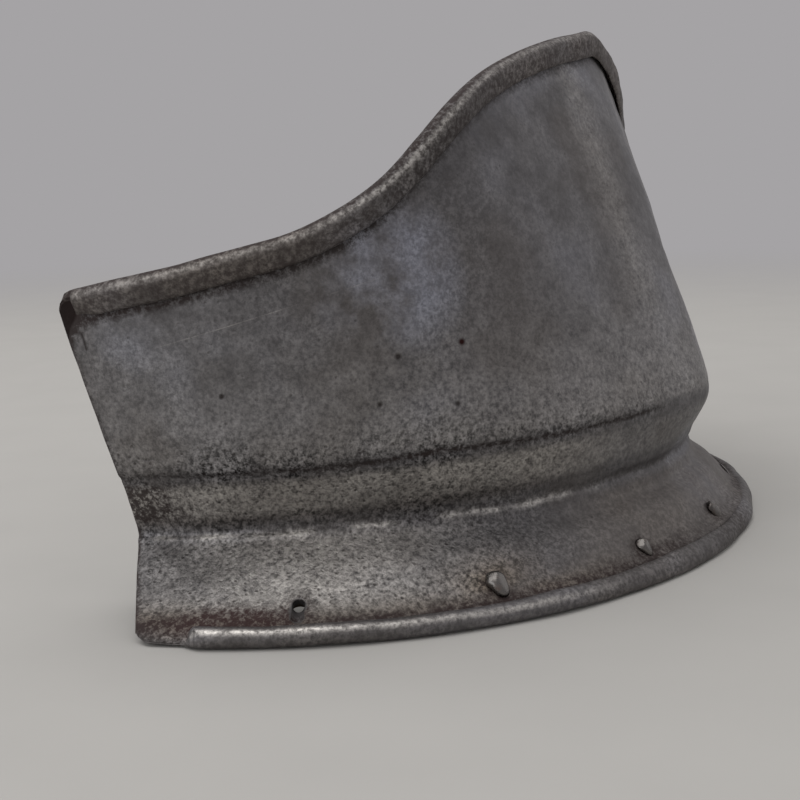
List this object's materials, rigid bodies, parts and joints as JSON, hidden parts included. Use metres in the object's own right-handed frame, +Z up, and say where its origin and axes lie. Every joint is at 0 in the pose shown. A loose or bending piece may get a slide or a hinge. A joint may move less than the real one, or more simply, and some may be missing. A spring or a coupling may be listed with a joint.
{
  "type": "bevor",
  "caption": "Bevor of a plate-armour helmet: a keeled steel chin and throat guard with a flared, riveted flange, a creased neck and rolled edges.",
  "frame": {"origin": "on the axis of the neck, in the plane that the flange stands on", "axes": "+Z up along the neck, prow along -Y, +X to the wearer's left across the width"},
  "size_m": [0.2262, 0.1126, 0.1139],
  "materials": {
    "plate_steel": "forged plate, darkened and finely pitted, worn brighter on flange and rolls",
    "edge_wire_iron": "drawn wire, rusted",
    "rivet_iron": "hammered heads, worn bright",
    "washer_iron": "cut sheet, rusted",
    "band_leather": "old dark brown strap leather, dry and creased",
    "linen_thread": "waxed twisted linen"
  },
  "bodies": {
    "root": {"bevor_plate": "plate_steel", "upper_edge_wire": "edge_wire_iron", "lower_edge_wire": "edge_wire_iron", "lining_band": "band_leather", "lining_thread": "linen_thread", "rivet_front": "rivet_iron", "rivet_right_1": "rivet_iron", "rivet_right_2": "rivet_iron", "rivet_left_1": "rivet_iron", "rivet_left_2": "rivet_iron", "rivet_left_3": "rivet_iron", "washer_front": "washer_iron", "washer_right_1": "washer_iron", "washer_right_2": "washer_iron", "washer_left_1": "washer_iron", "washer_left_2": "washer_iron", "washer_left_3": "washer_iron"}
  },
  "joints": []
}
